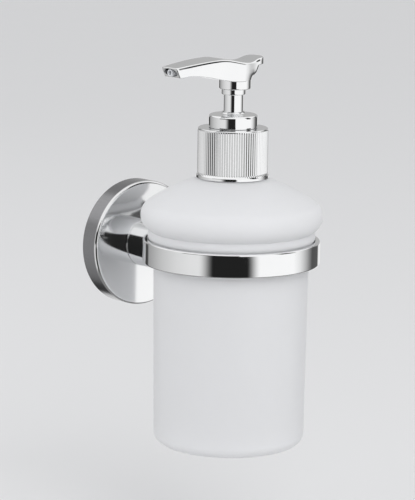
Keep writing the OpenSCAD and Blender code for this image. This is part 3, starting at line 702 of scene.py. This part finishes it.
def makeGasket(s):
    box = size("neck_gasket")
    section = tubeSection(s["bore"], box["radius"], box["foot"], box["top"], s["edge"])
    return mount(turnPiece("neckGasket", section, steps=96), "gasket", "neck_gasket", blackRubber)


closureSettings = {"bore": 13.2, "web": 1.2, "hole": 9.1, "edge": 0.3, "insideEdge": 0.5}


def makeClosure(s):
    box = size("closure")
    web = box["top"] - s["web"]
    section = softCorners([(s["bore"], box["foot"], s["edge"]), (box["radius"], box["foot"], s["edge"]),
                           (box["radius"], box["top"], s["edge"]), (s["hole"], box["top"], s["edge"]),
                           (s["hole"], web, s["edge"]), (s["bore"], web, s["insideEdge"])])
    return mount(turnPiece("closure", section, steps=96), "collar", "closure", whitePlastic)


collarSettings = {"ribs": 90, "perRib": 8, "ribDepth": 0.3, "lipOut": 0.6, "lipHeight": 1.95, "lipWall": 1.15,
                  "lipLean": 0.02, "lipEdge": 0.05, "lipIn": 0.01, "footIn": 0.1, "holdLoops": (0.12, 0.25),
                  "band": 0.7, "bandDrop": 0.1, "bandIn": 0.02, "bandGroove": 0.12, "topEdge": 0.6,
                  "topIn": 8.9, "wall": 0.35, "lid": 0.6, "fade": 0.35}


def makeCollar(s):
    box = size("collar_shell")
    lip, foot, top = box["radius"], box["foot"], box["top"]
    crest = lip - s["lipOut"]
    valley = crest - s["ribDepth"]
    inner = valley - s["wall"]
    under = top - s["lid"]
    lipTop = foot + s["lipHeight"]
    bandFoot = top - s["band"] - s["bandDrop"]
    freshStart()
    bpy.ops.mesh.primitive_circle_add(vertices=s["perRib"] * s["ribs"], radius=inner * mm,
                                      location=bottleAxis + upward * under * mm)
    piece = nameIt("collarShell")
    applyPlace()
    bpy.ops.object.mode_set(mode="EDIT")
    # the lip's wall leans in a little and a straight chamfer runs from it up to the ribs
    edge, corner, bend = s["lipEdge"], lip - s["lipLean"], foot + s["lipWall"]
    slope = (corner - crest) / (lipTop - bend)
    below = [(inner, foot + s["footIn"]), (lip - edge, foot), (lip, foot + edge)]
    below += [(lip - s["lipIn"], foot + up) for up in s["holdLoops"]]
    below += [(corner, bend - 4 * edge), (corner, bend - edge), (corner - slope * edge, bend + edge),
              (crest, lipTop)]
    edge = s["topEdge"]
    above = arc(crest - s["bandIn"] - edge, top - edge, edge, 0, 90, 6)
    above += [(s["topIn"], top), (s["topIn"], under), (inner, under)]
    # each step: radius on the crests, radius in the valleys, height
    walk = [(r, r, h) for r, h in below]
    walk += [(crest, valley, lipTop + s["fade"]), (crest, valley, bandFoot - s["fade"]),
             (crest - s["bandIn"], crest - s["bandGroove"], bandFoot)]
    walk += [(r, r, h) for r, h in above]
    radii, height = (inner, inner), under
    centre = bottleAxis.copy()
    for onCrest, inValley, there in walk:
        bpy.ops.mesh.extrude_region_move(TRANSFORM_OT_translate={"value": (0, 0, (there - height) * mm)})
        centre.z = there * mm
        if (onCrest, inValley) != radii:
            bpy.ops.object.mode_set(mode="OBJECT")
            for vertex in piece.data.vertices:
                if vertex.select:
                    spoke = Vector((vertex.co.x - centre.x, vertex.co.y - centre.y))
                    wave = math.cos(math.atan2(spoke.y, spoke.x) * s["ribs"])
                    spoke = spoke.normalized() * (inValley + (onCrest - inValley) * (0.5 + 0.5 * wave)) * mm
                    vertex.co.x, vertex.co.y = centre.x + spoke.x, centre.y + spoke.y
            bpy.ops.object.mode_set(mode="EDIT")
        radii, height = (onCrest, inValley), there
    weld("collar")
    closeUp()
    settle(piece, 60)
    return mount(piece, "collar", "collar_shell", polishedChrome)


capSettings = {"edge": 1.3, "wall": 0.8, "bossFoot": 6.6, "bossHeight": 1.0, "bore": 4.45, "bossRim": 0.5,
               "hollowSteps": 10, "hollowOut": 0.6, "fineEdge": 0.15, "insideEdge": 0.4, "insideUp": 0.2}


def makeCap(s):
    box = size("cap")
    foot, bossTop = box["foot"], box["top"]
    top = bossTop - s["bossHeight"]
    under, inside = top - s["wall"], box["radius"] - s["wall"]
    rim = s["bore"] + s["bossRim"]
    sweep = [math.radians(90 * i / s["hollowSteps"]) for i in range(s["hollowSteps"] + 1)]
    hollow = [(s["bossFoot"] - (s["bossFoot"] - rim) * math.sin(t), top + s["bossHeight"] * (1 - math.cos(t)))
              for t in sweep]
    section = softCorners([(inside, foot, s["fineEdge"]), (box["radius"], foot, s["fineEdge"]),
                           (box["radius"], top, s["edge"]), (s["bossFoot"] + s["hollowOut"], top)],
                          closed=False, parts=8)
    section += hollow
    section += softCorners([hollow[-1], (s["bore"], bossTop, s["fineEdge"]), (s["bore"], under),
                            (inside, under, s["insideEdge"]), (inside, foot + s["insideUp"])], closed=False)[1:]
    return mount(turnPiece("cap", section, steps=160), "pump", "cap", polishedChrome)


makeGasket(gasketSettings)
makeClosure(closureSettings)
makeCollar(collarSettings)
makeCap(capSettings)
print("collar and cap modelled")

# ---- stem

sleeveSettings = {"wall": 0.65, "edge": 0.15}


def makeSleeve(s):
    box = size("stem_sleeve")
    section = tubeSection(box["radius"] - s["wall"], box["radius"], box["foot"], box["top"], s["edge"])
    return mount(turnPiece("stemSleeve", section, steps=96), "head", "stem_sleeve", polishedChrome)


stepSettings = {"bore": 4.2, "edge": 0.45, "topEdge": 0.1}


def makeStemRing(s):
    box = size("stem_ring")
    r = box["radius"]
    section = softCorners([(s["bore"], box["foot"]), (r, box["foot"], s["edge"]),
                           (r, box["top"], s["topEdge"]), (s["bore"], box["top"])], parts=6)
    return mount(turnPiece("stemRing", section, steps=96), "head", "stem_ring", polishedChrome)


dipSettings = {"wall": 0.8, "edge": 0.2, "slope": 35}


def makeDipTube(s):
    box = size("dip_tube")
    r, foot = box["radius"], box["foot"] - 1  # a little longer than the tube, for its sloping cut
    section = softCorners([(r - s["wall"], foot), (r, foot), (r, box["top"], s["edge"]),
                           (r - s["wall"], box["top"], s["edge"])])
    piece = pick(turnPiece("dipTube", section, steps=64))
    tilt = math.radians(s["slope"])
    cut = (0, bottleAxis.y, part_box("dip_tube")[0].z + r * mm * math.tan(tilt))
    bpy.ops.object.mode_set(mode="EDIT")
    selectAll()
    bpy.ops.mesh.bisect(plane_co=cut, plane_no=(math.sin(tilt), 0, math.cos(tilt)), clear_inner=True)
    selectOpenEdges()
    bpy.ops.mesh.bridge_edge_loops()
    closeUp()
    settle(piece)
    return mount(piece, "pump", "dip_tube", naturalPlastic)


makeSleeve(sleeveSettings)
makeStemRing(stepSettings)
makeDipTube(dipSettings)
print("stem modelled")

# ---- pump head

headSettings = {"stepUp": 3.6, "humpX": 12.0, "humpUp": 10.2, "saddleX": -4.0, "saddleUp": 8.1, "restIn": 2.0,
                "restUp": 9.9, "tipUp": 7.8, "spoutDepth": 4.4, "archIn": 7.0, "archUp": 0.5, "tailIn": 5.5,
                "tailDepth": 3.4, "skirtIn": 1.0, "barrel": 6.8, "barrelBack": 0.7, "across": 13.9,
                "humpWidth": 13.2, "spoutWidth": 9.8, "taper": 1.5, "restWidth": 11.4, "thumb": 15.0,
                "spoutLength": 36.2, "lean": 0.5, "edge": 1.15, "underEdge": 0.4, "draft": 1.0, "roundUp": 3.6,
                "bore": 4.2, "boreIn": 0.9, "passage": 1.7, "passageDrop": 3.8, "footEdge": 0.6, "mouthSide": 0.8,
                "mouthEdge": 0.6, "mouthDepth": 5.0, "mouthPast": 3.0, "endEdge": 0.35, "mouthRim": 0.25,
                "barrelIn": 3.0, "passageBack": 0.6, "passageIn": 0.4, "tailRows": 14, "bodyRows": 52,
                "endRows": 4}


def ease(a, b, t):
    t = min(1, max(0, t))
    return a + (b - a) * (1 - math.cos(math.pi * t)) / 2


def headShape(s, skirt):
    # upper edge, lower edge and half width of the head, x measured towards the outlet
    restX = s["restIn"] - s["thumb"]
    archX = s["spoutLength"] - s["archIn"]
    sideX = s["barrel"] + s["barrelBack"] - s["skirtIn"]
    end = s["restWidth"] / 2
    turnX = end - s["thumb"]

    def top(x):
        if x > s["humpX"]:
            t = (x - s["humpX"]) / (s["spoutLength"] - s["humpX"])
            return skirt + s["humpUp"] + (s["tipUp"] - s["humpUp"]) * min(t, 1.2) ** 1.5
        if x > s["saddleX"]:
            return skirt + ease(s["saddleUp"], s["humpUp"], (x - s["saddleX"]) / (s["humpX"] - s["saddleX"]))
        return skirt + ease(s["saddleUp"], s["restUp"], (s["saddleX"] - x) / (s["saddleX"] - restX))

    def low(x):
        tip = s["tipUp"] - s["spoutDepth"]
        if x > archX:
            return skirt + ease(tip + s["archUp"], tip, (x - archX) / (s["spoutLength"] - archX))
        if x > 0:
            return skirt + ease(0, tip + s["archUp"], x / archX)
        if x > -sideX:
            return skirt
        tailX = s["tailIn"] - s["thumb"]
        return skirt + ease(0, s["restUp"] - s["tailDepth"], (-sideX - x) / (-sideX - tailX))

    def half(x):
        wide, hump = s["across"] / 2, s["humpWidth"] / 2
        if x > s["humpX"]:
            t = min(1, (x - s["humpX"]) / (s["spoutLength"] - s["humpX"]))
            return hump + (s["spoutWidth"] / 2 - hump) * t ** s["taper"]
        return ease(wide, hump, x / s["humpX"]) if x > 0 else ease(wide, end, x / turnX)

    return top, low, half, turnX, end, archX


def makeHead(s):
    foot = size("pump_head")["foot"]
    skirt = foot + s["stepUp"]
    top, low, half, turnX, end, archX = headShape(s, skirt)
    # the points round half of the section: which round or wall each is on, and its angle or share there
    ring = [("top", 90 - 15 * k) for k in range(7)] + [("wall", k / 4) for k in range(1, 4)]
    ring += [("under", -22.5 * k) for k in range(5)]
    count = len(ring)
    # rows of points round the thumb rest, along the body and round the spout's end
    tail, body, lips = s["tailRows"], s["bodyRows"], s["endRows"]
    freshStart()
    rows = tail + body + lips
    bpy.ops.mesh.primitive_grid_add(x_subdivisions=rows, y_subdivisions=2 * count, size=1)
    piece = nameIt("pumpHead")
    for vertex in piece.data.vertices:
        i = round((vertex.co.x + 0.5) * rows)
        k = round((vertex.co.y + 0.5) * 2 * count) % (2 * count)
        side = 1 if k < count else -1
        kind, value = ring[k] if k < count else ring[2 * count - 1 - k]
        theta = math.radians(90 * i / tail)
        bend = math.radians(90 * max(0, i - tail - body) / lips)
        squeeze = s["endEdge"] * (1 - math.cos(bend))
        straight = s["spoutLength"] - s["endEdge"]
        run = turnX + (straight - turnX) * min(1, max(0, i - tail) / body) + s["endEdge"] * math.sin(bend)
        depth = top(run) - low(run) - 2 * squeeze
        edge = min(s["edge"], depth * 0.45)
        under = min(s["underEdge"], depth * 0.3)
        draft = half(run) * (1 - s["draft"])
        turn = math.radians(value)
        if kind == "top":
            inset = edge * (1 - math.cos(turn))
        elif kind == "wall":
            inset = draft * value
        else:
            inset = draft + under * (1 - math.cos(turn))
        if i < tail:
            span = end - inset
            x, y = turnX - span * math.cos(theta), span * math.sin(theta)
        else:
            x, y = run, half(run) - inset - squeeze
        high, deep = top(x) - squeeze, low(x) + squeeze
        if kind == "top":
            z = high - edge * (1 - math.sin(turn))
        elif kind == "wall":
            z = (high - edge) + (deep + under - high + edge) * value
        else:
            z = deep + under * (1 + math.sin(turn))
        if x < -s["barrelBack"]:  # the skirt turns round into the barrel below it
            full = half(x) if x > turnX else end
            onBarrel = math.sqrt(max(0, s["barrel"] ** 2 - (x + s["barrelBack"]) ** 2))
            free = ease(0, 1, (z - skirt) / s["roundUp"])
            y *= free + (1 - free) * min(1, onBarrel / full)
        x -= ease(0, s["lean"], (x - archX) / (s["spoutLength"] - archX)) * (high - z)
        vertex.co = bottleAxis + Vector((-x, side * y, z)) * mm
    pick(piece)
    bpy.ops.object.mode_set(mode="EDIT")
    weld("head")
    selectOpenEdges()
    bpy.ops.mesh.edge_face_add()
    closeUp()
    passageFoot = skirt + s["saddleUp"] - s["passageDrop"]
    passageEnd = skirt + s["tipUp"] - s["spoutDepth"] / 2
    middle = bottleAxis + Vector((s["barrelBack"] * mm, 0, 0))
    barrelTop = skirt + s["barrelIn"]
    section = softCorners([(0, foot), (s["barrel"], foot, s["footEdge"]), (s["barrel"], barrelTop),
                           (0, barrelTop)], closed=False)
    barrel = turnPiece("barrelTool", section, closed=False, steps=128, base=middle)
    combine(piece, barrel, "UNION")
    stem = bottleAxis + upward * foot * mm
    boreTop = bottleAxis + upward * (passageFoot - s["passage"] + s["boreIn"]) * mm
    combine(piece, bar("boreTool", s["bore"] * mm, stem - upward * mm, boreTop, 96))
    # the passage ends inside the mouth's recess
    start = bottleAxis + Vector((-s["passageBack"] * mm, 0, passageFoot * mm))
    mouthAt = bottleAxis + Vector((-s["spoutLength"] * mm, 0, passageEnd * mm))
    recess = s["spoutLength"] - s["mouthDepth"] + s["passageIn"]
    finish = start.lerp(mouthAt, recess / s["spoutLength"])
    combine(piece, bar("passageTool", s["passage"] * mm, start, finish, 48))
    mouth = {"wide": s["spoutWidth"] - 2 * s["mouthSide"], "high": s["spoutDepth"] - 2 * s["mouthEdge"]}
    out = s["spoutLength"] - s["mouthDepth"] / 2 + s["mouthPast"] / 2
    bpy.ops.mesh.primitive_cylinder_add(vertices=64, radius=mouth["high"] / 2 * mm,
                                        depth=(s["mouthDepth"] + s["mouthPast"]) * mm,
                                        location=bottleAxis + Vector((-out * mm, 0, passageEnd * mm)),
                                        rotation=(0, math.radians(90), 0))
    slot = nameIt("mouthTool")
    slot.scale = (1, mouth["wide"] / mouth["high"], 1)
    applyPlace()
    combine(piece, slot)
    offFace, offOutline, offBarrel = 0.3, 0.03, 0.02  # how far a point may be from the place it is looked for

    def onRim(*ends):
        # whether both points lie on the spout's end face, on the mouth's outline
        for point in ends:
            x, y, z = (point - bottleAxis) / mm
            out = s["lean"] * (top(s["spoutLength"]) - z) - x
            reach = math.hypot(y / mouth["wide"] * 2, (z - passageEnd) / mouth["high"] * 2)
            if abs(out - s["spoutLength"]) > offFace or abs(reach - 1) > offOutline:
                return False
        return True

    softenEdges(piece, onRim, s["mouthRim"] * mm)
    verts = piece.data.vertices
    for edge in piece.data.edges:  # a crisp seam where the barrel meets the skirt
        a, b = (verts[i].co - middle for i in edge.vertices)
        away = max(abs(math.hypot(v.x, v.y) / mm - s["barrel"]) for v in (a, b))
        upright = math.hypot(a.x - b.x, a.y - b.y) < offBarrel * mm
        if away < offBarrel and min(a.z, b.z) > (foot + 1) * mm and not upright:
            edge.use_edge_sharp = True
    settle(piece, 35)
    return mount(piece, "head", "pump_head", polishedChrome)


insertSettings = {"outer": 1.5, "inner": 0.95, "start": 9.0, "back": 0.35, "edge": 0.2}


def makeInsert(s, head):
    skirt = size("pump_head")["foot"] + head["stepUp"]
    foot = skirt + head["saddleUp"] - head["passageDrop"]
    end = skirt + head["tipUp"] - head["spoutDepth"] / 2
    axis = Vector((-head["spoutLength"], 0, end - foot)).normalized()
    section = tubeSection(s["inner"], s["outer"], s["start"], head["spoutLength"] - s["back"], s["edge"])
    piece = turnPiece("outletInsert", section, steps=64, base=bottleAxis + upward * foot * mm, axis=axis,
                      across=Vector((0, 1, 0)))
    return mount(piece, "head", "outlet_insert", palePlastic)


makeHead(headSettings)
makeInsert(insertSettings, headSettings)
print("pump head modelled")

# ---- spring

springSettings = {"turns": 6.0, "wire": 0.45, "deadTurns": 0.75, "deadRise": 1.8, "pointsPerTurn": 40,
                  "stroke": 7.0}


def makeSpring(s):
    box = size("return_spring")
    length = box["top"] - box["foot"] - 2 * s["wire"]
    flat = s["deadRise"] * s["wire"]
    dead = s["deadTurns"] / s["turns"]
    radius = (box["radius"] - s["wire"]) * mm
    freshStart()
    bpy.ops.curve.primitive_nurbs_path_add(location=(0, 0, 0))
    coil = nameIt("returnSpring").data
    coil.splines.clear()
    line = coil.splines.new("POLY")
    last = int(s["turns"] * s["pointsPerTurn"])
    line.points.add(last)
    for i in range(last + 1):
        share = i / last
        if share < dead:
            rise = flat * share / dead
        elif share > 1 - dead:
            rise = length - flat * (1 - share) / dead
        else:
            rise = flat + (length - 2 * flat) * (share - dead) / (1 - 2 * dead)
        turn = math.tau * s["turns"] * share
        line.points[i].co = (radius * math.cos(turn), bottleAxis.y + radius * math.sin(turn),
                             (box["foot"] + s["wire"] + rise) * mm, 1)
    coil.dimensions = "3D"
    coil.twist_mode = "Z_UP"
    coil.bevel_depth = s["wire"] * mm
    coil.bevel_resolution = 3
    coil.use_fill_caps = True
    bpy.ops.object.convert(target="MESH")
    piece = nameIt("returnSpring")
    settle(piece, 60, flatWalls=False)
    mount(piece, "pump", "return_spring", brightSteel)
    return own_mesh(piece)


makeSpring(springSettings)
print("spring modelled")

# ---- pieces that keep the solid's shape

keptFinishes = {"ring_stud": stainless, "stem_guide": whitePlastic, "pump_housing": naturalPlastic,
                "inlet_ball": brightSteel, "piston": softPlastic, "piston_rod": whitePlastic,
                "outlet_ball": brightSteel}
for node, finish in keptFinishes.items():
    nodes[node].data.materials.clear()
    nodes[node].data.materials.append(finish)
print("inner pieces finished")

# ---- floor, lamps and studio

floorSettings = {"height": -0.128, "size": 6.0, "color": (0.8, 0.8, 0.8), "tint": (0.78, 0.78, 0.78),
                 "low": 0.6, "high": 0.7, "scale": 3.0}


def makeFloor(s):
    freshStart()
    bpy.ops.mesh.primitive_plane_add(size=s["size"], location=(0, 0, s["height"]))
    floor = nameIt("floor")
    material, tree, shader = newMaterial("paleFloor", specular=0.2)
    addHaze(tree, shader, s["color"], s["tint"], s["low"], s["high"], scale=s["scale"])
    floor.data.materials.append(material)
    floor.visible_glossy = False


lampSettings = {"key": {"azimuth": -18, "elevation": 35, "distance": 1.4, "size": 1.1, "power": 5.7},
                "fill": {"azimuth": -110, "elevation": 25, "distance": 1.5, "size": 1.3, "power": 1.2},
                "back": {"azimuth": -155, "elevation": 12, "distance": 1.2, "size": 1.0, "power": 1.6}}


def makeLamps(s):
    for name, lamp in s.items():
        a, e = math.radians(lamp["azimuth"]), math.radians(lamp["elevation"])
        way = Vector((math.sin(a) * math.cos(e), -math.cos(a) * math.cos(e), math.sin(e)))
        bpy.ops.object.light_add(type="AREA", location=bottleAxis + way * lamp["distance"])
        light = bpy.context.object
        light.name = name + "Lamp"
        light.rotation_euler = way.to_track_quat("Z", "Y").to_euler()
        light.data.shape = "DISK"
        light.data.size = lamp["size"]
        light.data.energy = lamp["power"]
        light.visible_glossy = False


# what polished metal sees round it, by bearing from the camera towards its right and by height, in degrees
studioSettings = {"belt": [(-180, 0.9), (-163, 0.9), (-158, 0.05), (-139, 0.05), (-135, 0.34), (-122, 0.42),
                           (-100, 0.58), (-75, 0.72), (-55, 0.78), (0, 0.8), (14, 1.0), (88, 1.0), (100, 0.82),
                           (112, 0.5), (121, 0.25), (129, 0.09), (150, 0.1), (155, 0.85), (180, 0.9)],
                  "gap": {"high": -7.7, "low": -10.6, "left": (-18.8, -22.8), "right": (8.8, 20.0),
                          "leftSoft": (22.0, 21.0), "rightSoft": (3.0, 19.0), "from": -40.0, "to": 24.0,
                          "soft": 4.0, "level": 0.016},
                  "panels": [{"left": -66.0, "right": -10.0, "from": -3.0, "to": 17.0, "level": 0.02},
                             {"left": 66.0, "right": 90.0, "from": -2.5, "to": 44.0, "level": 0.02}],
                  "panelSoft": {"side": 4.0, "foot": 2.0, "top": 3.0},
                  "back": {"bearing": 142.0, "from": -3.0, "to": 60.0, "level": 0.46},
                  "backSoft": {"side": 8.0, "foot": 2.0, "top": 4.0},
                  "ceiling": {"from": 18.0, "to": 26.0, "level": 0.95},
                  "ground": {"from": -39.0, "to": -43.0, "level": 0.22},
                  "diffuse": (0.8, 0.805, 0.82), "backdrop": (1.0, 1.0, 1.0)}


def makeStudio(s):
    world = bpy.data.worlds.new("studio")
    bpy.context.scene.world = world
    world.use_nodes = True
    tree = world.node_tree
    tree.nodes.clear()

    def work(operation, *given):
        return addNode(tree, "Math", dict(enumerate(given)), operation).outputs["Value"]

    def fade(source, low, high):
        # 0 below low, 1 above high and a smooth rise between them
        spread = addNode(tree, "MapRange", {"Value": source, "From Min": low, "From Max": high})
        spread.interpolation_type = "SMOOTHSTEP"
        return spread.outputs["Result"]

    def inside(enter, leave):
        return work("MULTIPLY", enter, work("SUBTRACT", 1.0, leave))

    def between(mask, low, lowEnd, high, highEnd):
        # keeps a mask between two heights, each with its soft edge
        return inside(work("MULTIPLY", mask, fade(tilt, low, lowEnd)), fade(tilt, high, highEnd))

    def bounded(mask, part, soft):
        low, high = part["from"], part["to"]
        return between(mask, low - soft["foot"], low + soft["foot"], high - soft["top"], high + soft["top"])

    def grey(level):
        return level, level, level, 1

    def paint(color, mask, level):
        return blendIn(tree, mask, color, grey(level))

    spot = addNode(tree, "TexCoord", {}).outputs["Generated"]
    split = addNode(tree, "SeparateXYZ", {"Vector": spot}).outputs
    x, y, z = (split[k] for k in "XYZ")
    a = math.radians(cameraSettings["azimuth"])
    ahead = work("ADD", work("MULTIPLY", x, math.sin(a)), work("MULTIPLY", y, -math.cos(a)))
    aside = work("ADD", work("MULTIPLY", x, math.cos(a)), work("MULTIPLY", y, math.sin(a)))
    bearing = work("MULTIPLY", work("ARCTAN2", aside, ahead), 180 / math.pi)
    tilt = work("MULTIPLY", work("ARCSINE", z), 180 / math.pi)
    belt = addNode(tree, "ValToRGB", {"Fac": work("ADD", work("DIVIDE", bearing, 360.0), 0.5)})
    stops, ramp = s["belt"], belt.color_ramp.elements
    ramp[0].position, ramp[1].position = 0, 1
    ramp[0].color, ramp[1].color = grey(stops[0][1]), grey(stops[-1][1])
    for degrees, level in stops[1:-1]:
        ramp.new(degrees / 360 + 0.5).color = grey(level)

    gap, back, ceiling, ground = (s[k] for k in ("gap", "back", "ceiling", "ground"))

    def byHeight(name):
        return rangeIn(tree, tilt, gap["low"], gap["high"], *reversed(gap[name]))

    left, right = byHeight("left"), byHeight("right")
    enter = fade(bearing, work("SUBTRACT", left, byHeight("leftSoft")), left)
    leave = fade(bearing, right, work("ADD", right, byHeight("rightSoft")))
    inGap = between(inside(enter, leave), gap["from"] - gap["soft"], gap["from"], gap["to"],
                    gap["to"] + gap["soft"])
    soft = s["backSoft"]
    turned = fade(work("ABSOLUTE", bearing), back["bearing"] - soft["side"], back["bearing"] + soft["side"])
    seen = paint(belt.outputs["Color"], fade(tilt, ceiling["from"], ceiling["to"]), ceiling["level"])
    seen = paint(seen, bounded(turned, back, soft), back["level"])
    soft = s["panelSoft"]
    for part in s["panels"]:
        enter, leave = (fade(bearing, part[k] - soft["side"], part[k] + soft["side"])
                        for k in ("left", "right"))
        seen = paint(seen, bounded(inside(enter, leave), part, soft), part["level"])
    seen = paint(seen, inGap, gap["level"])
    seen = paint(seen, work("SUBTRACT", 1.0, fade(tilt, ground["to"], ground["from"])), ground["level"])

    def background(color):
        return addNode(tree, "Background", {"Color": color}).outputs["Background"]

    def choose(factor, first, second):
        return addNode(tree, "MixShader", {"Fac": factor, 1: first, 2: second}).outputs["Shader"]

    path = addNode(tree, "LightPath", {}).outputs
    light = choose(path["Is Glossy Ray"], background((*s["diffuse"], 1)), background(seen))
    light = choose(path["Is Camera Ray"], light, background((*s["backdrop"], 1)))
    addNode(tree, "OutputWorld", {"Surface": light})


makeFloor(floorSettings)
makeLamps(lampSettings)
makeStudio(studioSettings)
bpy.context.scene.view_settings.view_transform = "Standard"
print("studio ready")
